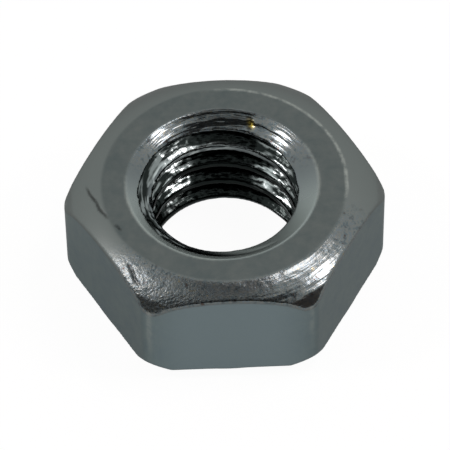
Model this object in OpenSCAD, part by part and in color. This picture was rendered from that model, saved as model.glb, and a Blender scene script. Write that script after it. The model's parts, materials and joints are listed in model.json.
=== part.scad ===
// Hexagon nut with a crowned chamfer round its upper face and a bevel round the lower one,
// on which it lies.
// Millimetres. The origin is the middle of the lower bearing face, +Z runs up the bore,
// and two of the six flats face along Y.

/* [Hexagon] */
// Width across two opposite flats
across_flats = 13; // [12.5:0.1:16]
// Height from one bearing face to the other
thickness = 6.05; // [4:0.05:12]
// Radius of the six upright corner edges
corner_r = 0.95; // [0.2:0.05:1.5]
// How far in from the corners both of their ends are trimmed
corner_trim = 0.36; // [0.1:0.02:0.6]
// Slope of the trimmed ends
trim_slope = 52; // [46:1:65]

/* [Faces] */
// How far both round bearing faces stand in from the flats
face_inset = 0.92; // [0.9:0.02:1.4]
// Radius of the upper chamfer's crown, in a section through the axis
crown_r = 4; // [3.5:0.1:12]
// Slope of the crown where it leaves the upper bearing face
crown_slope = 17; // [5:1:25]
// How far the lower bearing face stands out below the flats
bevel_height = 0.6; // [0.2:0.05:0.7]
// Slope of the bevel round the lower bearing face
bevel_slope = 33; // [32:1:70]

/* [Bore] */
// Outside diameter of the screw that fits
thread_d = 8; // [5:0.5:9.5]
// Pitch of the thread
pitch = 1.25; // [0.5:0.05:1.75]
// How far the mouth of each countersink stands outside the thread
countersink_lip = 0.4; // [0:0.05:0.6]
// Included angle of each countersink
countersink_angle = 110; // [90:1:125]

/* [Hidden] */
$fn = 96;

flats = 6;
flat_turn = 360 / flats;
half_flats = across_flats / 2;

// The hexagon's corners before they are rounded, which is as far as anything reaches.
sharp_corner_r = half_flats / cos(flat_turn / 2);

// The corner arcs are centred on a smaller hexagon, one corner radius inside the flats.
corner_centre_r = (half_flats - corner_r) / cos(flat_turn / 2);

// The arcs stand a hair proud of the flats, which trim them, so that each arc crosses
// its flats cleanly and doesn't merely touch them.
arc_proud = 0.002;

// The crown is an arc that starts at the rim of the upper bearing face.
face_r = half_flats - face_inset;
crown_centre_r = face_r - crown_r * sin(crown_slope);
crown_centre_z = thickness - crown_r * cos(crown_slope);

// The bevel runs out to the flats' middles, and on to the underside of the corners.
bevel_root_r = face_r + bevel_height / tan(bevel_slope);

// The trimmed ends start where the crown and the underside reach this circle, and they slope
// away as cones. The upper cone's line is carried on inwards until it is over the crown.
trim_r = corner_centre_r + corner_r - corner_trim;
trim_drop = (sharp_corner_r - trim_r) * tan(trim_slope);
trim_z = crown_centre_z + sqrt(crown_r ^ 2 - (trim_r - crown_centre_r) ^ 2);
trim_top_r = trim_r - (thickness - trim_z) / tan(trim_slope);

// The bore is tapped, so its wall is the crest of a 60 degree thread: five eighths
// of the sharp thread's height is cut away on each side.
thread_height = pitch * cos(30);
bore_r = thread_d / 2 - 5 / 8 * thread_height;

// Each countersink is the point of a drill on the bore's axis.
countersink_r = thread_d / 2 + countersink_lip;
countersink_tan = tan(countersink_angle / 2);

// Cutters and the bar run this far past the faces that they cut or leave.
spare = 1;

function corner_centre(i) = corner_centre_r * [cos(i * flat_turn), sin(i * flat_turn)];

// Where a corner's arc runs out into the flat on one side of it.
function arc_end(i, side) =
    let (a = (i + side / 2) * flat_turn)
    corner_centre(i) + corner_r * [cos(a), sin(a)];

// Cross-section of the hexagon bar, with its corners rounded.
module hexagon_outline() {
    intersection() {
        circle(r = sharp_corner_r, $fn = flats);
        union() {
            polygon([for (i = [0 : flats - 1], side = [-1, 1]) arc_end(i, side)]);
            for (i = [0 : flats - 1])
                translate(corner_centre(i))
                    circle(r = corner_r + arc_proud);
        }
    }
}

// Half of the section before the crown and the countersinks are cut: the bore's wall, the
// bevel, the underside of the hexagon and the trimmed ends of its corners.
module bored_blank() {
    polygon([
        [bore_r, 0],
        [face_r, 0],
        [bevel_root_r, bevel_height],
        [trim_r, bevel_height],
        [sharp_corner_r, bevel_height + trim_drop],
        [sharp_corner_r, trim_z - trim_drop],
        [trim_top_r, thickness],
        [bore_r, thickness],
    ]);
}

// What the upper chamfer leaves of the section: all that lies under its crown.
module under_crown() {
    translate([crown_centre_r, crown_centre_z])
        circle(r = crown_r);
    square([crown_centre_r, thickness]);
    square([sharp_corner_r, crown_centre_z]);
}

// Half of the drill point that opens the upper end of the bore.
module upper_countersink() {
    polygon([
        [0, thickness - countersink_r / countersink_tan],
        [countersink_r + spare * countersink_tan, thickness + spare],
        [0, thickness + spare],
    ]);
}

// The same drill point turned over, for the lower end.
module lower_countersink() {
    translate([0, thickness])
        mirror([0, 1])
            upper_countersink();
}

// Half of the section through the axis: bore, countersinks, bearing faces and crown.
module turned_section() {
    difference() {
        intersection() {
            bored_blank();
            under_crown();
        }
        upper_countersink();
        lower_countersink();
    }
}

// The bar's six flats are cut into the turned ring, and the crown meets them in curves.
module nut() {
    color([0.36, 0.39, 0.38])
        intersection() {
            rotate_extrude()
                turned_section();
            translate([0, 0, -spare])
                linear_extrude(height = thickness + 2 * spare)
                    hexagon_outline();
        }
}

nut();
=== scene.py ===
# %% [markdown]
# # A bright zinc plated hexagon nut
# The nut is one piece of cold formed steel with a tapped hole, lying on one of its two faces.
# The CAD model holds the hexagon, its crown and bevel and a plain bore. This script makes the nut
# again with what the eye sees close up: the thread, the softened edges and the struck metal.

import json
import math

import bpy
from mathutils import Matrix, Vector

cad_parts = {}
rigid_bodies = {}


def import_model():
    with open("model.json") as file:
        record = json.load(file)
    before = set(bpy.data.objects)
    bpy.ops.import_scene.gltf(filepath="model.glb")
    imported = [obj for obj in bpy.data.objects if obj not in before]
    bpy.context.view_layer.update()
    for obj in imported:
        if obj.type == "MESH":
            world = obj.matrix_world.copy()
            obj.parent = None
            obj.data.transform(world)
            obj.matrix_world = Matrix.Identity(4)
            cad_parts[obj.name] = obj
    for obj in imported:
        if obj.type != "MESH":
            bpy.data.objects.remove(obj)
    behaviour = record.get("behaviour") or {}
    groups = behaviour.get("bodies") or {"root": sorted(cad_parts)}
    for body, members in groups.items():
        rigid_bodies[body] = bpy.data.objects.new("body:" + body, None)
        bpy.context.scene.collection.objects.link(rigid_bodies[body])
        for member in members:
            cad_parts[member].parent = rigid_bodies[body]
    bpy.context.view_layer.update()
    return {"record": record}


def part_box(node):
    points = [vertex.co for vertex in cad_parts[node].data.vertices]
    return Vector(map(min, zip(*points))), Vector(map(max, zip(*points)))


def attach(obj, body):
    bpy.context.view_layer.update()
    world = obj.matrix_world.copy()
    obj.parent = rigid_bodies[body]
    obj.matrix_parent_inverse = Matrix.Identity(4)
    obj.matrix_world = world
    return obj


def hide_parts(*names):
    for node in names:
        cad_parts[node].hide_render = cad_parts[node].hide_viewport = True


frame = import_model()

# %% [markdown]
# ## Sizes
# The nut is modelled in millimetres and shrunk to metres at the end, because Blender merges
# points and builds voxels more safely on numbers near one. What the frame knows is read from
# it, so a new pack of the CAD model carries through. The rest are a few driving sizes.

# %% Sizes in millimetres
MM = 0.001

nut_low, nut_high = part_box("nut")
across_flats = (nut_high.y - nut_low.y) / MM
thickness = (nut_high.z - nut_low.z) / MM
corner_reach = nut_high.x / MM
crest_r = frame["record"]["mounts"][0]["dims"]["r_mm"]

half_flats = across_flats / 2
half_turn = math.radians(30)
sharp_corner_r = half_flats / math.cos(half_turn)
corner_r = (sharp_corner_r - corner_reach) / (1 / math.cos(half_turn) - 1)
face_inset = 0.92
face_r = half_flats - face_inset
crown_r = 4.0
crown_slope = math.radians(17)
corner_trim = 0.36
trim_r = corner_reach - corner_trim
trim_slope = math.radians(52)
bevel_height = 0.6
bevel_root_r = face_r + bevel_height / math.tan(math.radians(33))
pitch = 1.25
thread_r = crest_r + 5 / 8 * pitch * math.cos(half_turn)
countersink_lip = 0.4
countersink_r = thread_r + countersink_lip
countersink_half_angle = math.radians(55)
spare = 1.0
print(f"M{2 * thread_r:.2f} thread, {across_flats:.2f} across flats, {thickness:.2f} thick")
print(f"corner radius {corner_r:.3f}, bearing face radius {face_r:.3f}")

# %% [markdown]
# ## The camera
# The photographed nut is seen from in front and above, through a long lens, so its sides hardly
# converge. The camera's place was found by fitting the nut's outline, the rim of its face, the
# countersink and the see-through part of the bore. It comes first, so that each step can be seen.

# %% Camera
camera_elevation = math.radians(51.829)
camera_azimuth = math.radians(-1.639)
camera_roll = math.radians(-0.848)
camera_distance = 182.0
aim_below_face = 3.1

turn = (
    Matrix.Rotation(camera_azimuth, 4, "Z")
    @ Matrix.Rotation(math.pi / 2 - camera_elevation, 4, "X")
    @ Matrix.Rotation(camera_roll, 4, "Z")
)
aim = Vector((0, 0, thickness - aim_below_face))
eye = aim + camera_distance * (turn.to_3x3() @ Vector((0, 0, 1)))

bpy.ops.object.camera_add()
camera = bpy.context.object
camera.name = "camera"
camera.matrix_world = Matrix.Translation(eye * MM) @ turn
camera.data.sensor_width = 36
camera.data.lens = 315.6
camera.data.clip_start = 0.01
camera.data.clip_end = 10
bpy.context.scene.camera = camera
print("camera at", [round(v, 4) for v in camera.location])

# %% [markdown]
# ## The hexagon bar
# Nuts of this kind are formed from wire between dies, and the six upright edges come out
# rounded where the metal didn't fill the die. A six sided cylinder with its upright edges
# bevelled gives that, and the bevel's offset is worked out so that it makes a true arc.


# %% Helpers for picking and for edit mode
def direction(azimuth, elevation):
    """Unit vector; azimuth 0 is the nut's right and 90 is away from the camera."""
    a = math.radians(azimuth)
    e = math.radians(elevation)
    return Vector((math.cos(a) * math.cos(e), math.sin(a) * math.cos(e), math.sin(e)))


def clear_selection():
    """Nothing is selected, so that the next operator acts only on what is made next."""
    bpy.ops.object.select_all(action="DESELECT")


def pick(obj):
    """obj is the one object that operators act on."""
    clear_selection()
    obj.select_set(True)
    bpy.context.view_layer.objects.active = obj


def select_in_edit(obj, mode, wanted):
    """Selects the VERT or EDGE elements that wanted says, and stays in edit mode."""
    bpy.ops.object.mode_set(mode="EDIT")
    bpy.ops.mesh.select_mode(type=mode)
    bpy.ops.mesh.select_all(action="DESELECT")
    bpy.ops.object.mode_set(mode="OBJECT")
    for part in obj.data.vertices if mode == "VERT" else obj.data.edges:
        part.select = wanted(part)
    bpy.ops.object.mode_set(mode="EDIT")


def report(obj):
    """Prints the size of a mesh."""
    size = [round(v, 3) for v in obj.dimensions]
    print(f"{obj.name}: {len(obj.data.vertices)} points, {len(obj.data.polygons)} faces, {size}")


# %% Hexagon bar with rounded upright edges
clear_selection()
bpy.ops.mesh.primitive_cylinder_add(
    vertices=6,
    radius=sharp_corner_r,
    depth=thickness + 2 * spare,
    location=(0, 0, thickness / 2),
    rotation=(0, 0, math.radians(30)),
)
nut = bpy.context.object
nut.name = "tapped_nut"
bpy.ops.object.transform_apply(location=True, rotation=True, scale=True)


def is_upright(edge):
    """True for an edge whose two ends are at different heights."""
    a, b = (nut.data.vertices[i].co for i in edge.vertices)
    return abs(a.z - b.z) > spare


select_in_edit(nut, "EDGE", is_upright)
bpy.ops.mesh.bevel(offset=corner_r * math.tan(half_turn), segments=12, profile=0.5)
bpy.ops.object.mode_set(mode="OBJECT")
report(nut)

# %% [markdown]
# ## The turned blank
# The crown, the bevel below and the trimmed ends of the corners are all turned about the
# bore's axis. Half of the section is drawn by extruding one point along it, and spun once round
# the axis. Where this round blank and the hexagon bar overlap is the nut, and the curved edge
# over each flat comes out of that.


# %% Turning helpers
def turned(name, section, steps):
    """A solid of revolution. section is a list of (radius, height), from the axis to the axis."""
    clear_selection()
    bpy.ops.mesh.primitive_plane_add(size=1)
    solid = bpy.context.object
    solid.name = name
    bpy.ops.object.mode_set(mode="EDIT")
    bpy.ops.mesh.select_mode(type="VERT")
    bpy.ops.mesh.select_all(action="SELECT")
    bpy.ops.mesh.merge(type="CENTER")
    bpy.ops.transform.translate(value=(section[0][0], 0, section[0][1]))
    for (r0, z0), (r1, z1) in zip(section, section[1:]):
        bpy.ops.mesh.extrude_region_move(TRANSFORM_OT_translate={"value": (r1 - r0, 0, z1 - z0)})
    bpy.ops.mesh.select_all(action="SELECT")
    bpy.ops.mesh.spin(steps=steps, angle=2 * math.pi, center=(0, 0, 0), axis=(0, 0, 1))
    bpy.ops.mesh.select_all(action="SELECT")
    bpy.ops.mesh.remove_doubles(threshold=1e-4)
    bpy.ops.mesh.normals_make_consistent(inside=False)
    bpy.ops.object.mode_set(mode="OBJECT")
    report(solid)
    return solid


def boolean(tool, operation):
    """Joins a tool to the nut by a Boolean and takes the tool away."""
    pick(nut)
    cut = nut.modifiers.new("cut", "BOOLEAN")
    cut.operation = operation
    cut.solver = "EXACT"
    cut.object = tool
    bpy.ops.object.modifier_apply(modifier=cut.name)
    bpy.data.objects.remove(tool)
    report(nut)


# %% Blank with a crown above and a bevel below
past_corner_r = corner_reach + 0.4
crown_steps = 14

crown_centre_r = face_r - crown_r * math.sin(crown_slope)
crown_centre_z = thickness - crown_r * math.cos(crown_slope)


def top_height(r):
    """Height of the crown, or of the trimmed end of a corner, at a distance from the axis."""
    on_crown = min(r, trim_r)
    height = crown_centre_z + math.sqrt(crown_r**2 - (on_crown - crown_centre_r) ** 2)
    return height - (r - on_crown) * math.tan(trim_slope)


section = [(0, thickness)]
for step in range(crown_steps + 1):
    r = face_r + (trim_r - face_r) * step / crown_steps
    section.append((r, top_height(r)))
section.append((past_corner_r, top_height(past_corner_r)))
section.append((past_corner_r, bevel_height + (past_corner_r - trim_r) * math.tan(trim_slope)))
section += [(trim_r, bevel_height), (bevel_root_r, bevel_height), (face_r, 0), (0, 0)]
boolean(turned("blank", section, 240), "INTERSECT")

# %% [markdown]
# ## The bore and its countersinks
# A nut is pierced at the diameter of its thread's crests, and both ends are opened with a cone
# so that a screw finds its way in. The upper cone on this nut was struck a little off the axis,
# which shows as a rim that is wider on one side, so each cone is its own cutter.

# %% Pierced bore and countersinks
upper_offset = Vector((-0.1, 0, 0))
over = thickness + spare

boolean(turned("bore", [(0, -spare), (crest_r, -spare), (crest_r, over), (0, over)], 160), "DIFFERENCE")

cone_depth = countersink_r / math.tan(countersink_half_angle)
cone_top_r = countersink_r + spare * math.tan(countersink_half_angle)
cone_section = [(0, -cone_depth), (cone_top_r, spare), (0, spare)]
for height, flip, offset in ((thickness, 0, upper_offset), (0, math.pi, Vector())):
    cone = turned("cone", cone_section, 160)
    cone.rotation_euler.x = flip
    cone.location = Vector((0, 0, height)) + offset
    boolean(cone, "DIFFERENCE")

# %% [markdown]
# ## The tapped thread
# A tap cuts one groove that winds up the bore, 1.25 mm a turn, with sides at 60 degrees to each
# other. The groove's section is drawn as a plane, widened towards the bore, and the Screw
# modifier winds it into a helix that runs out past both faces. Taking it away leaves the thread.

# %% Tap
groove_depth_at_rear = 0.92
turns = math.ceil(thickness / pitch) + 3
root_width = pitch / 8
inner_r = crest_r - 0.25
inner_width = root_width + 2 * (thread_r - inner_r) * math.tan(half_turn)

# The winding starts on the right, a quarter of a turn before the rear, and well under the nut
start_z = thickness - groove_depth_at_rear - pitch / 4
start_z -= pitch * math.ceil((start_z + pitch) / pitch)

clear_selection()
bpy.ops.mesh.primitive_plane_add(size=1, rotation=(math.pi / 2, 0, 0))
tap = bpy.context.object
tap.name = "tap"
tap.scale = (thread_r - inner_r, root_width, 1)
tap.location = ((thread_r + inner_r) / 2, 0, start_z)
bpy.ops.object.transform_apply(location=True, rotation=True, scale=True)
select_in_edit(tap, "VERT", lambda v: v.co.x < crest_r)
bpy.ops.transform.resize(value=(1, 1, inner_width / root_width))
bpy.ops.mesh.select_all(action="SELECT")
bpy.ops.mesh.delete(type="ONLY_FACE")
bpy.ops.object.mode_set(mode="OBJECT")
winding = tap.modifiers.new("winding", "SCREW")
winding.axis = "Z"
winding.angle = 2 * math.pi
winding.screw_offset = pitch
winding.iterations = turns
winding.steps = 120
winding.render_steps = 120
winding.use_merge_vertices = False
bpy.ops.object.modifier_apply(modifier=winding.name)
bpy.ops.object.mode_set(mode="EDIT")
bpy.ops.mesh.select_all(action="SELECT")
bpy.ops.mesh.fill_holes(sides=4)
bpy.ops.mesh.select_all(action="SELECT")
bpy.ops.mesh.normals_make_consistent(inside=False)
bpy.ops.object.mode_set(mode="OBJECT")
report(tap)
boolean(tap, "DIFFERENCE")

# %% [markdown]
# ## One skin
# Tumbling and plating soften every edge of a real nut. The mesh is rebuilt on a fine grid, which
# leaves small steps, so its points are settled back on the sharp shape before smoothing rounds
# the edges by about a tenth of a millimetre.

# %% Remesh and soften
voxel = 0.083

sharp = bpy.data.objects.new("sharp_nut", nut.data.copy())
bpy.context.scene.collection.objects.link(sharp)
pick(nut)
skin = nut.modifiers.new("skin", "REMESH")
skin.mode = "VOXEL"
skin.voxel_size = voxel
bpy.ops.object.modifier_apply(modifier=skin.name)
settle = nut.modifiers.new("settle", "SHRINKWRAP")
settle.target = sharp
settle.wrap_method = "NEAREST_SURFACEPOINT"
bpy.ops.object.modifier_apply(modifier=settle.name)
soft = nut.modifiers.new("soft", "SMOOTH")
soft.factor = 0.5
soft.iterations = 5
bpy.ops.object.modifier_apply(modifier=soft.name)
bpy.data.objects.remove(sharp)
report(nut)

# %% [markdown]
# ## Where each finish lies
# Three kinds of surface meet on the nut: satin flats and bearing faces, the struck crown, and
# the cut metal of the countersinks and the thread. Painting them by hand would take a mask for
# each. Here each point is told by its place how far it belongs to each of them, from 0 to 1,
# and both the unevenness and the material read that.


# %% Crown, flats and cut metal
def ramp(value, low, high):
    """0 below low, 1 above high and smooth between them."""
    t = min(max((value - low) / (high - low), 0), 1)
    return t * t * (3 - 2 * t)


def window(p, azimuth, half_angle):
    """1 within half_angle of an azimuth, and 0 from 20 degrees beyond it."""
    towards = Vector((p.x, p.y, 0)).normalized().dot(direction(azimuth, 0))
    return ramp(towards, math.cos(math.radians(half_angle + 20)), math.cos(math.radians(half_angle)))


def from_axis(p):
    """Distance of a point from the axis, or from that of the upper cone in the upper half."""
    offset = upper_offset if p.z > thickness / 2 else Vector()
    return math.hypot(p.x - offset.x, p.y - offset.y)


def under_face(p):
    """Depth of a point under the nearer bearing face."""
    return min(p.z, thickness - p.z)


def crown_share(p):
    """The crown and the trimmed upper ends of the corners."""
    r = math.hypot(p.x, p.y)
    return ramp(r, face_r - 0.05, face_r + 0.12) * (1 - ramp(top_height(r) - p.z, 0.05, 0.16))


def struck_share(p):
    """The part of the crown that the die left bright, from its right side round the front."""
    return crown_share(p) * window(p, -80, 52)


def side_share(p):
    """The flats and the upright edges between them."""
    return ramp(math.hypot(p.x, p.y), face_r + 0.5, face_r + 0.7) * (1 - crown_share(p))


def front_flat_light_share(p):
    """The front flat, coloured paler than its neighbours as painted light."""
    return side_share(p) * window(p, -90, 14)


def cut_share(p):
    """The thread and its countersinks."""
    return 1 - ramp(from_axis(p), countersink_r - 0.06, countersink_r + 0.06)


def off_cone(p):
    """How far a point of the cut metal stands outside its countersink's cone."""
    cone_r = countersink_r - under_face(p) * math.tan(countersink_half_angle)
    return from_axis(p) - cone_r


def thread_share(p):
    """The thread alone."""
    return cut_share(p) * ramp(off_cone(p), 0.04, 0.2)


def beside_highlight_share(p):
    """The left and right sides of the thread, where its flanks get painted highlights, most in its
    middle turns.
    """
    depth = thickness - p.z
    middle = (0.4 + 0.6 * ramp(depth, 2.2, 2.7)) * (1 - ramp(depth, 4.4, 5.0))
    return ramp(abs(p.x), 1.2, 2.0) * middle


def bore_shade_share(p):
    """Painted shade in the thread's grooves and the depth of the bore, where light is thin and the
    plate is thin too.
    """
    groove = ramp(min(off_cone(p), from_axis(p) - crest_r), 0.03, 0.16)
    deep = ramp(thickness - p.z, 1.6, 2.0) * ramp(off_cone(p), 0.04, 0.2)
    return cut_share(p) * max(groove, deep)


def satin_lip_and_sheen_share(p):
    """The front and the sides of the countersinks: a satin finish, coloured paler as a painted
    reflection.
    """
    sheen_part = ramp(-p.y, -1.5, 2.6) * (1 - ramp(under_face(p), 0.65, 0.95))
    return cut_share(p) * (1 - bore_shade_share(p)) * sheen_part


def ridge_share(p):
    """The rear of the countersinks, where the tool chattered."""
    return (cut_share(p) - thread_share(p)) * ramp(p.y, 0.6, 2.2)


def in_groove(p):
    """Where a point lies in the winding: 0 in the middle of the groove, 0.5 on either crest."""
    level = start_z + pitch * math.atan2(p.y, p.x) / (2 * math.pi)
    turn_part = (p.z - level) / pitch
    return turn_part - round(turn_part)


def crest_highlight_share(p):
    """Painted highlight on the first crest, strongest on the left."""
    on_crest = 1 - ramp(from_axis(p) - crest_r, 0.04, 0.2)
    first = ramp(thickness - p.z, 0.9, 1.1) * (1 - ramp(thickness - p.z, 1.9, 2.2))
    return on_crest * first * (0.15 + 0.85 * ramp(-p.x, -1.2, 1.2))


def flank_highlight_share(p):
    """Painted highlights on the upper flanks of the thread, which face the sky on the left and right.
    """
    upper = ramp(-in_groove(p), 0.02, 0.12) * (1 - ramp(-in_groove(p), 0.36, 0.48))
    return thread_share(p) * beside_highlight_share(p) * upper


crown_of = [struck_share(v.co) for v in nut.data.vertices]
thread_of = [thread_share(v.co) for v in nut.data.vertices]
print(f"bright crown {sum(w > 0.5 for w in crown_of)} points, thread {sum(w > 0.5 for w in thread_of)}")

# %% [markdown]
# ## Struck and torn metal
# The crown carries the grain of the die: shallow bumps a few tenths of a millimetre wide that
# break the lamps' reflections into sparks. The thread is rougher still, because a tap tears more
# than it cuts. Displace modifiers on a vertex group move the points by noise.


# %% Uneven crown and thread
def uneven(name, weights, grain, depth):
    """Pushes points in and out by noise of that grain, in millimetres, where weights says."""
    group = nut.vertex_groups.new(name=name)
    for index, weight in enumerate(weights):
        if weight > 0.01:
            group.add([index], weight, "REPLACE")
    pattern = bpy.data.textures.new(name, "CLOUDS")
    pattern.noise_scale = grain
    pattern.noise_depth = 2
    push = nut.modifiers.new(name, "DISPLACE")
    push.texture = pattern
    push.texture_coords = "LOCAL"
    push.vertex_group = name
    push.strength = depth
    push.mid_level = 0.5
    bpy.ops.object.modifier_apply(modifier=push.name)
    nut.vertex_groups.remove(nut.vertex_groups[name])


struck_grain = 0.4
struck_depth = 0.016
torn_grain = 0.3
torn_depth = 0.045

pick(nut)
uneven("struck_grain", crown_of, struck_grain, struck_depth)
uneven("torn_thread", thread_of, torn_grain, torn_depth)
report(nut)

# %% [markdown]
# ## Marks
# This nut has a scratch on its left crown, a crease that runs down its front left corner and a
# nick in its countersink, where the film over the zinc shows straw. The scratch, a tick beside it
# and the crease are darkened inside with painted shade, and the nick carries a painted glint.
# Their places are read from the photograph: a ray from the camera through a pixel finds the
# point of the nut that it shows. The points near such a path are then pushed in by a Displace
# modifier, most on the path itself.

# %% Scratch and crease
IMAGE_SIZE = 450
scratch_pixels = ((86, 187), (90, 195), (96, 202), (99, 209), (104, 214), (108, 219))
tick_pixels = ((115, 225), (118, 227), (121, 231))
crease_pixels = ((128, 263), (132, 271), (135, 280), (141, 288))
nick_pixels = ((249, 120), (251, 124), (252, 128))
nick_width = 0.22
steps_between = 8

focal_pixels = camera.data.lens / camera.data.sensor_width * IMAGE_SIZE
marks = []


def on_nut(x, y):
    """The point of the nut, in millimetres, that a pixel of the photograph shows."""
    across = (x - IMAGE_SIZE / 2) / focal_pixels
    up = (IMAGE_SIZE / 2 - y) / focal_pixels
    ray = (turn.to_3x3() @ Vector((across, up, -1))).normalized()
    return nut.ray_cast(eye, ray)[1]


def mark_share(p, path, width):
    """1 on the middle of a mark, falling to 0 at its edge and its ends."""
    if (p - path[0]).length > (path[-1] - path[0]).length + width:
        return 0
    near, along = min(((p - q).length, k) for k, q in enumerate(path))
    return (1 - ramp(near, 0, width)) * math.sin(math.pi * (along + 0.5) / len(path)) ** 0.6


def pressed(name, pixels, width, depth, mark_shade):
    """Pushes in a mark along a path of pixels, and keeps it for the painted shade inside it."""
    path = []
    for (x0, y0), (x1, y1) in zip(pixels, pixels[1:]):
        for step in range(steps_between):
            t = step / steps_between
            path.append(on_nut(x0 + (x1 - x0) * t, y0 + (y1 - y0) * t))
    marks.append((path, width, mark_shade))
    group = nut.vertex_groups.new(name=name)
    moved = 0
    for v in nut.data.vertices:
        share = mark_share(v.co, path, width)
        if share > 0.01:
            group.add([v.index], share, "REPLACE")
            moved += 1
    push = nut.modifiers.new(name, "DISPLACE")
    push.vertex_group = name
    push.strength = -depth
    push.mid_level = 0
    bpy.ops.object.modifier_apply(modifier=push.name)
    nut.vertex_groups.remove(nut.vertex_groups[name])
    print(f"{name}: {moved} points moved along {len(path)} steps")
    return path


def mark_shade_share(p):
    """Painted shade that darkens the inside of a mark."""
    return max(mark_shade * mark_share(p, path, width) for path, width, mark_shade in marks)


pick(nut)
bpy.context.view_layer.update()
# The scratch, tick and crease get painted shade: their insides are coloured near black.
pressed("scratch", scratch_pixels, width=0.1, depth=0.06, mark_shade=1.6)
pressed("tick", tick_pixels, width=0.09, depth=0.05, mark_shade=1.4)
pressed("crease", crease_pixels, width=0.13, depth=0.04, mark_shade=1.0)
nick_path = pressed("nick", nick_pixels, width=nick_width, depth=0.06, mark_shade=0.0)
report(nut)


# %% Straw coloured film and painted glint
def straw_glint_share(p):
    """Painted yellow glint on the nick in the countersink, tinted like the passivation film."""
    return mark_share(p, nick_path, nick_width)


print(f"nick at {[round(v, 2) for v in nick_path[0]]}")

# %% [markdown]
# ## Fewer triangles where nothing happens
# The middles of the flats and of the bearing faces are plain planes, and their fine grid is not
# needed. Only the points that lie well inside a plane are thinned, so that no long triangle
# reaches into a rounded edge and smears its shading.

# %% Thin the plain areas
most_triangles = 190000
plain_enough = 0.99999
kept_rings = 3

plane_normals = [direction(0, 90), direction(0, -90)]
plane_normals += [direction(30 + 60 * k, 0) for k in range(6)]


def is_plain(v):
    """True for a point whose surface is parallel to a flat or a bearing face."""
    return any(v.normal.dot(n) > plain_enough for n in plane_normals)


pick(nut)
bpy.ops.object.mode_set(mode="EDIT")
bpy.ops.mesh.select_all(action="SELECT")
bpy.ops.mesh.quads_convert_to_tris()
bpy.ops.object.mode_set(mode="OBJECT")
nut.vertex_groups.new(name="plain")
select_in_edit(nut, "VERT", is_plain)
for ring in range(kept_rings):
    bpy.ops.mesh.select_less()
bpy.ops.object.vertex_group_assign()
bpy.ops.object.mode_set(mode="OBJECT")
thin = nut.modifiers.new("thin", "DECIMATE")
thin.ratio = min(1, most_triangles / len(nut.data.polygons))
thin.vertex_group = "plain"
bpy.ops.object.modifier_apply(modifier=thin.name)
nut.vertex_groups.clear()
bpy.ops.object.shade_smooth()
report(nut)

# %% [markdown]
# ## Edge wear and painted highlights
# Where the nut was handled its edges are worn, and lighter lines are painted along them as
# highlights: the rim of the upper face on the right and rear, the mouth of the countersink in two
# places, and the upright edges. A line fades at its ends, so each is bounded by a window round its
# middle azimuth.

# %% Edges with painted highlight lines
rim_half_width = 0.11
edge_half_width = 0.2
brightest_edge = 4

# Middle azimuth of each line and how far it reaches on either side, in degrees
sheen_rim = (40, 40)
sheen_mouth_left = (-140, 35)
sheen_mouth_right = (5, 10)


def edge_wear_and_sheen_share(p):
    """Painted highlight lines along the edges, over some wear."""
    r = math.hypot(p.x, p.y)
    on_face = 1 - ramp(thickness - p.z, 0.1, 0.3)
    rim = (1 - ramp(abs(r - face_r), 0.02, rim_half_width)) * window(p, *sheen_rim)
    mouth = 1 - ramp(abs(from_axis(p) - countersink_r), 0.02, rim_half_width)
    mouth *= max(0.55 * window(p, *sheen_mouth_left), 0.6 * window(p, *sheen_mouth_right))
    share = on_face * max(rim, mouth)
    for k in range(6):
        corner = corner_reach * direction(60 * k, 0)
        near = 1 - ramp(math.hypot(p.x - corner.x, p.y - corner.y), 0.04, edge_half_width)
        sheen_part = 0.6 if k == brightest_edge else 0.3
        share = max(share, sheen_part * near * ramp(p.z, 1.0, 4.5))
    return share


# %% Attributes for the material, and back to metres
finishes = {
    "crown": crown_share,
    "struck": struck_share,
    "side": side_share,
    "cut": cut_share,
    "thread": thread_share,
    "satin_lip_and_sheen": satin_lip_and_sheen_share,
    "ridge": ridge_share,
    "crest": crest_highlight_share,
    "flank_highlight": flank_highlight_share,
    "bore_shade": bore_shade_share,
    "mark_shade": mark_shade_share,
    "straw_glint": straw_glint_share,
    "edge_wear_and_sheen": edge_wear_and_sheen_share,
    "front": front_flat_light_share,
}
for name, share in finishes.items():
    layer = nut.data.attributes.new(name, "FLOAT", "POINT")
    values = [share(v.co) for v in nut.data.vertices]
    layer.data.foreach_set("value", values)
    print(f"{name}: mean {sum(values) / len(values):.3f}")

nut.scale = (MM, MM, MM)
bpy.ops.object.transform_apply(location=True, rotation=True, scale=True)
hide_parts("nut")
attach(nut, "root")

# %% [markdown]
# ## Bright zinc plate on cold formed steel
# Zinc plate is a thin grey metal coat with a greenish cast from its passivation. It is satin on
# the flats and faces, where the wire's own surface shows through, and brighter where a die or a
# tool burnished the steel. Thin films of passivation tint the bright parts blue and straw.


# %% Colours and the node helper
def linear(hex_colour):
    """sRGB hex to the linear colour that Blender's sockets take."""
    out = []
    for i in (1, 3, 5):
        c = int(hex_colour[i : i + 2], 16) / 255
        out.append(c / 12.92 if c <= 0.04045 else ((c + 0.055) / 1.055) ** 2.4)
    return (*out, 1)


def add_node(tree, kind, settings=None, inputs=None):
    """Adds a node with its settings, and sets or links its inputs."""
    made = tree.nodes.new(kind)
    for key, value in (settings or {}).items():
        setattr(made, key, value)
    for key, value in (inputs or {}).items():
        if isinstance(value, bpy.types.NodeSocket):
            tree.links.new(value, made.inputs[key])
        else:
            made.inputs[key].default_value = value
    return made


# %% Place on the nut
zinc = bpy.data.materials.new("bright_zinc_plate_on_cold_formed_steel")
zinc.use_nodes = True
tree = zinc.node_tree
tree.nodes.clear()

share_of = {}
for name in finishes:
    share_of[name] = add_node(tree, "ShaderNodeAttribute", {"attribute_name": name}).outputs["Fac"]

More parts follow.
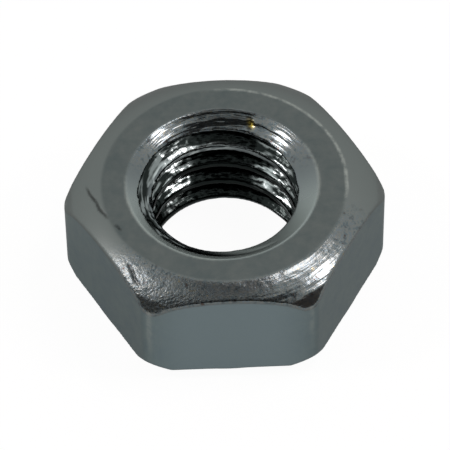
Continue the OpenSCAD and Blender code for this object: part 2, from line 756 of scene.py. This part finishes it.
place = add_node(tree, "ShaderNodeTexCoord").outputs["Object"]
in_mm = add_node(
    tree,
    "ShaderNodeVectorMath",
    {"operation": "SCALE"},
    {"Vector": place, "Scale": 1 / MM},
).outputs[0]
split = add_node(tree, "ShaderNodeSeparateXYZ", {}, {0: in_mm})
flat_place = add_node(
    tree,
    "ShaderNodeVectorMath",
    {"operation": "MULTIPLY"},
    {0: in_mm, 1: (1, 1, 0)},
).outputs[0]
radius = add_node(
    tree,
    "ShaderNodeVectorMath",
    {"operation": "LENGTH"},
    {0: flat_place},
).outputs["Value"]
outwards = add_node(
    tree,
    "ShaderNodeVectorMath",
    {"operation": "NORMALIZE"},
    {0: flat_place},
).outputs[0]
print(f"{len(share_of)} finishes on {zinc.name}")

# %% [markdown]
# ## Grain and tool marks
# The die's grain is about a tenth of a millimetre, and shows most on the left of the crown. Tool
# marks follow the turning: narrow along the radius and the height, and long on the way round.
# Real ones are finer, and these are as coarse as they need to be to show. The countersink's tool
# also chattered, which left ridges about half a millimetre apart.

# %% Grain, streaks and ridges
grain_size = 0.12
streak_width = 0.17
streak_length = 1.2
streak_r = 5.0
ridge_size = 0.45
chatter_part = 4.0

grain = add_node(
    tree,
    "ShaderNodeTexNoise",
    {},
    {"Vector": in_mm, "Scale": 1 / grain_size, "Detail": 2.0, "Roughness": 0.5},
).outputs["Fac"]
upwards = add_node(
    tree,
    "ShaderNodeVectorMath",
    {"operation": "MULTIPLY"},
    {0: in_mm, 1: (0, 0, 1 / streak_width)},
).outputs[0]
around = add_node(
    tree,
    "ShaderNodeVectorMath",
    {"operation": "MULTIPLY_ADD"},
    {0: outwards, 1: [streak_r / streak_length] * 3, 2: upwards},
).outputs[0]
across = add_node(
    tree,
    "ShaderNodeMath",
    {"operation": "DIVIDE"},
    {0: radius, 1: streak_width},
).outputs[0]
streak = add_node(
    tree,
    "ShaderNodeTexNoise",
    {"noise_dimensions": "4D"},
    {"Vector": around, "W": across, "Scale": 1.0, "Detail": 1.5, "Roughness": 0.45},
).outputs["Fac"]
chatter = add_node(
    tree,
    "ShaderNodeMath",
    {"operation": "MULTIPLY"},
    {0: streak, 1: chatter_part},
).outputs[0]
ridge_turn = add_node(
    tree,
    "ShaderNodeMath",
    {"operation": "MULTIPLY_ADD"},
    {0: radius, 1: 2 * math.pi / ridge_size, 2: chatter},
).outputs[0]
ridge = add_node(tree, "ShaderNodeMath", {"operation": "SINE"}, {0: ridge_turn}).outputs[0]

# %% [markdown]
# ## Colour
# The coat is a grey green, bluer on the flats, and darker in the thread, where its grooves and
# depth carry painted shade. Blotches are as wide as the drops that the bath left, and specks are
# the grain of the die. Each finish is one layer of colour, mixed over the last by its share, as
# one coat of paint lies over another. Some layers are painted light: a paler front flat and near
# side of the countersinks, highlights on the edges, the first crest and the flanks, a straw glint
# on the nick and shade in the marks.

# %% Satin coat
blotch_size = 2.0
mottle_size = 0.5

blotch = add_node(
    tree,
    "ShaderNodeTexNoise",
    {},
    {"Vector": in_mm, "Scale": 1 / blotch_size, "Detail": 3.0},
).outputs["Fac"]
mottle = add_node(
    tree,
    "ShaderNodeTexNoise",
    {},
    {"Vector": in_mm, "Scale": 1 / mottle_size, "Detail": 4.0, "Roughness": 0.7},
).outputs["Fac"]
blotchy = add_node(
    tree,
    "ShaderNodeMath",
    {"operation": "MULTIPLY_ADD"},
    {0: mottle, 1: 1.4, 2: -0.7},
).outputs[0]
blotchy = add_node(
    tree,
    "ShaderNodeMath",
    {"operation": "ADD", "use_clamp": True},
    {0: blotchy, 1: blotch},
).outputs[0]
faces = add_node(
    tree,
    "ShaderNodeMix",
    {"data_type": "RGBA"},
    {"Factor": blotchy, 6: linear("#4F5757"), 7: linear("#5E6361")},
).outputs[2]
flats = add_node(
    tree,
    "ShaderNodeMix",
    {"data_type": "RGBA"},
    {"Factor": blotchy, 6: linear("#5D6B6F"), 7: linear("#6C7876")},
).outputs[2]
colour = add_node(
    tree,
    "ShaderNodeMix",
    {"data_type": "RGBA"},
    {"Factor": share_of["side"], 6: faces, 7: flats},
).outputs[2]

# %% Tints of the struck and the chattered metal
speck_size = 0.3

speck = add_node(
    tree,
    "ShaderNodeTexNoise",
    {},
    {"Vector": in_mm, "Scale": 1 / speck_size, "Detail": 4.0, "Roughness": 0.65},
).outputs["Fac"]
tints = add_node(tree, "ShaderNodeValToRGB", {}, {"Fac": speck})
stops = tints.color_ramp.elements
stops[0].position = 0.3
stops[0].color = linear("#4C433E")
stops[1].position = 0.74
stops[1].color = linear("#7F7862")
for position, tint in ((0.42, "#586468"), (0.5, "#6E706C"), (0.58, "#606B71")):
    stops.new(position).color = linear(tint)
shiny = add_node(
    tree,
    "ShaderNodeMath",
    {"operation": "MAXIMUM"},
    {0: share_of["struck"], 1: share_of["ridge"]},
).outputs[0]

# %% Painted highlights on the edges, the first crest and the flanks
patchy = add_node(
    tree,
    "ShaderNodeMapRange",
    {},
    {"Value": mottle, "From Min": 0.35, "From Max": 0.6, "To Min": 0.2, "To Max": 0.85},
).outputs[0]
edge_wear_and_sheen = add_node(
    tree,
    "ShaderNodeMath",
    {"operation": "MULTIPLY"},
    {0: share_of["edge_wear_and_sheen"], 1: patchy},
).outputs[0]
streaky = add_node(
    tree,
    "ShaderNodeMapRange",
    {},
    {"Value": streak, "From Min": 0.47, "From Max": 0.6},
).outputs[0]
crest = add_node(
    tree,
    "ShaderNodeMath",
    {"operation": "MULTIPLY"},
    {0: share_of["crest"], 1: streaky},
).outputs[0]
flank_highlight = add_node(
    tree,
    "ShaderNodeMath",
    {"operation": "MULTIPLY"},
    {0: share_of["flank_highlight"], 1: streaky},
).outputs[0]

# %% Layers of colour
layers = (
    # Painted light: the front flat is coloured paler than the flats beside it.
    (share_of["front"], linear("#717F82")),
    (share_of["crown"], linear("#666C6A")),
    (share_of["cut"], linear("#636A6B")),
    (shiny, tints.outputs["Color"]),
    # Painted reflection: the near side of the countersinks is coloured paler than the cut metal.
    (share_of["satin_lip_and_sheen"], linear("#949E9B")),
    # Painted shade: the thread's grooves and the depth of the bore are coloured near black.
    (share_of["bore_shade"], linear("#202524")),
    # Painted highlight: pale streaks on the first crest, brightest on the left.
    (crest, linear("#B4BDBC")),
    # Painted highlight: pale streaks on the thread's flanks at the left and right.
    (flank_highlight, linear("#B4BFBE")),
    # Painted glint: the nick is coloured a bright straw yellow, the film's tint made bright.
    (share_of["straw_glint"], linear("#D2B84A")),
    # Painted shade: the insides of the scratch, tick and crease are coloured near black.
    (share_of["mark_shade"], linear("#171514")),
    # Painted highlight: lighter lines along the face rim, the countersink mouth and the upright edges.
    (edge_wear_and_sheen, linear("#949994")),
)
for share, coat in layers:
    colour = add_node(
        tree,
        "ShaderNodeMix",
        {"data_type": "RGBA"},
        {"Factor": share, 6: colour, 7: coat},
    ).outputs[2]
print(f"{len(layers)} layers of colour over the satin coat")

# %% [markdown]
# ## Gloss and height
# Satin flats and faces spread a reflection wide, and the burnished crown and cut metal keep it.
# The finest grain and tool marks are smaller than the mesh can hold, so a bump gives them. What
# is larger was moved in the mesh itself.

# %% Roughness
satin_roughness = 0.36
left_crown_roughness = 0.28
right_crown_roughness = 0.19
cut_roughness = 0.16

not_satin_lip = add_node(
    tree,
    "ShaderNodeMath",
    {"operation": "SUBTRACT", "use_clamp": True},
    {0: share_of["cut"], 1: share_of["satin_lip_and_sheen"]},
).outputs[0]
crown_roughness = add_node(
    tree,
    "ShaderNodeMapRange",
    {},
    {
        "Value": split.outputs["X"],
        "From Min": -3.0,
        "From Max": 3.0,
        "To Min": left_crown_roughness,
        "To Max": right_crown_roughness,
    },
).outputs[0]
roughness = satin_roughness
for share, bright_roughness in ((share_of["struck"], crown_roughness), (not_satin_lip, cut_roughness)):
    roughness = add_node(
        tree,
        "ShaderNodeMix",
        {"data_type": "FLOAT"},
        {"Factor": share, 2: roughness, 3: bright_roughness},
    ).outputs[0]

# %% Height of the grain and the tool marks
bump_height = 0.03
grain_part = 0.95
left_part = 0.7
thread_part = 0.8
cut_part = 0.35
ridge_part = 0.35

to_right = add_node(
    tree,
    "ShaderNodeMapRange",
    {},
    {
        "Value": split.outputs["X"],
        "From Min": -2.0,
        "From Max": 3.0,
        "To Min": 0.15,
        "To Max": 0.8,
    },
).outputs[0]
left_grain = add_node(
    tree,
    "ShaderNodeMath",
    {"operation": "MULTIPLY"},
    {0: grain, 1: left_part},
).outputs[0]
die_marks = add_node(
    tree,
    "ShaderNodeMix",
    {"data_type": "FLOAT"},
    {"Factor": to_right, 2: left_grain, 3: streak},
).outputs[0]
height = 0.0
for pattern, share, part in (
    (die_marks, share_of["struck"], grain_part),
    (streak, share_of["thread"], thread_part),
    (streak, share_of["ridge"], cut_part),
    (ridge, share_of["ridge"], ridge_part),
):
    scaled = add_node(tree, "ShaderNodeMath", {"operation": "MULTIPLY"}, {0: share, 1: part}).outputs[0]
    height = add_node(
        tree,
        "ShaderNodeMath",
        {"operation": "MULTIPLY_ADD"},
        {0: pattern, 1: scaled, 2: height},
    ).outputs[0]
bump = add_node(
    tree,
    "ShaderNodeBump",
    {},
    {"Height": height, "Strength": 1.0, "Distance": bump_height * MM},
).outputs[0]

# %% Metal
metal = add_node(
    tree,
    "ShaderNodeBsdfPrincipled",
    {},
    {
        "Base Color": colour,
        "Roughness": roughness,
        "Metallic": 1.0,
        "Specular Tint": (0.6, 0.6, 0.6, 1.0),
        "Normal": bump,
    },
).outputs[0]
add_node(tree, "ShaderNodeOutputMaterial", {}, {"Surface": metal})
nut.data.materials.clear()
nut.data.materials.append(zinc)
print(f"{zinc.name}: {len(tree.nodes)} nodes")

# %% [markdown]
# ## Floor, studio and light
# The floor and the surroundings are white, and the metal shows them too. Three soft boxes stand
# on the left and right. Darker cards near the camera, out of its sight, give the crown's
# front and the countersink something dark to show, as the room did for the real nut.


# %% Floor and world
def seen_directly(tree):
    """1 for what the camera, a reflection or glass shows, and the Light Path node itself."""
    path = add_node(tree, "ShaderNodeLightPath")
    seen = path.outputs["Is Camera Ray"]
    for kind in ("Is Glossy Ray", "Is Transmission Ray"):
        inputs = {0: seen, 1: path.outputs[kind]}
        seen = add_node(tree, "ShaderNodeMath", {"operation": "MAXIMUM"}, inputs).outputs[0]
    return seen, path


floor_size = 2.0
floor_glow = 0.92
mirrored_glow = 0.5
glow_strength = 1.04
world_fill = 0.4
world_seen = 1.0

clear_selection()
bpy.ops.mesh.primitive_plane_add(size=floor_size)
floor = bpy.context.object
floor.name = "floor"
paper = bpy.data.materials.new("white_paper_floor")
paper.use_nodes = True
tree = paper.node_tree
tree.nodes.clear()
seen, path = seen_directly(tree)
glow_part = add_node(
    tree,
    "ShaderNodeMapRange",
    {},
    {"Value": path.outputs["Is Glossy Ray"], "To Min": floor_glow, "To Max": mirrored_glow},
).outputs[0]
glow_part = add_node(
    tree,
    "ShaderNodeMath",
    {"operation": "MULTIPLY"},
    {0: seen, 1: glow_part},
).outputs[0]
matt = add_node(tree, "ShaderNodeBsdfDiffuse", {}, {"Color": linear("#EDEDED")}).outputs[0]
glow = add_node(tree, "ShaderNodeEmission", {}, {"Strength": glow_strength}).outputs[0]
both = add_node(tree, "ShaderNodeMixShader", {}, {0: glow_part, 1: matt, 2: glow}).outputs[0]
add_node(tree, "ShaderNodeOutputMaterial", {}, {"Surface": both})
floor.data.materials.append(paper)

world = bpy.context.scene.world or bpy.data.worlds.new("studio")
bpy.context.scene.world = world
world.use_nodes = True
tree = world.node_tree
tree.nodes.clear()
seen = seen_directly(tree)[0]
level = add_node(
    tree,
    "ShaderNodeMapRange",
    {},
    {"Value": seen, "To Min": world_fill, "To Max": world_seen},
).outputs[0]
sky = add_node(
    tree,
    "ShaderNodeBackground",
    {},
    {"Color": (1, 1, 1, 1), "Strength": level},
).outputs[0]
add_node(tree, "ShaderNodeOutputWorld", {}, {"Surface": sky})
print(f"floor {floor_size} m wide, world {world_fill} as light and {world_seen} where it is seen")


# %% Soft boxes
def facing_nut(obj, azimuth, elevation, distance):
    """Puts a lamp or a card at a distance in metres from the nut, facing it."""
    out = direction(azimuth, elevation)
    obj.location = aim * MM + distance * out
    obj.rotation_euler = out.to_track_quat("Z", "Y").to_euler()


box_distance = 0.3


def soft_box(name, azimuth, elevation, width, height, radiance):
    """A rectangular lamp that faces the nut."""
    light = bpy.data.lights.new(name, "AREA")
    light.shape = "RECTANGLE"
    light.size = width
    light.size_y = height
    light.energy = radiance * math.pi * width * height
    light.color = linear("#FFF3F4")[:3]
    lamp = bpy.data.objects.new(name, light)
    bpy.context.scene.collection.objects.link(lamp)
    facing_nut(lamp, azimuth, elevation, box_distance)
    print(f"{name}: {light.energy:.3f} W")


soft_box("soft_box_right", azimuth=12, elevation=67, width=0.07, height=0.08, radiance=8)
soft_box("soft_box_low_right", azimuth=-10, elevation=47, width=0.07, height=0.05, radiance=15)
soft_box("soft_box_left", azimuth=-175, elevation=46, width=0.06, height=0.05, radiance=18)


# %% Cards
def cloth(name, hex_colour):
    """A matt cloth for the cards."""
    made = bpy.data.materials.new(name)
    made.use_nodes = True
    made.node_tree.nodes.clear()
    tree = made.node_tree
    matt = add_node(tree, "ShaderNodeBsdfDiffuse", {}, {"Color": linear(hex_colour)}).outputs[0]
    add_node(tree, "ShaderNodeOutputMaterial", {}, {"Surface": matt})
    return made


felt = cloth("pale_felt_on_card", "#C4C4C4")
baize = cloth("dark_baize_on_card", "#585858")
velvet = cloth("black_velvet_on_card", "#3C3836")
wool = cloth("brown_wool_on_card", "#807672")


def card(name, covering, azimuth, elevation, distance, width, height):
    """A card that faces the nut and that the camera looks past."""
    clear_selection()
    bpy.ops.mesh.primitive_plane_add(size=1)
    made = bpy.context.object
    made.name = name
    made.scale = (width, height, 1)
    facing_nut(made, azimuth, elevation, distance)
    made.data.materials.append(covering)
    made.visible_camera = False
    print(f"{name}: {width} by {height} m of {covering.name}")


card("card_overhead", felt, azimuth=-90, elevation=85, distance=0.34, width=0.2, height=0.17)
card("card_middle", baize, azimuth=-90, elevation=47, distance=0.34, width=0.44, height=0.24)
card("card_front_left", velvet, azimuth=-142, elevation=22, distance=0.3, width=0.19, height=0.18)
card("card_front_right", wool, azimuth=-42, elevation=20, distance=0.3, width=0.19, height=0.15)

# %% Plain view transform
bpy.context.scene.view_settings.view_transform = "Standard"
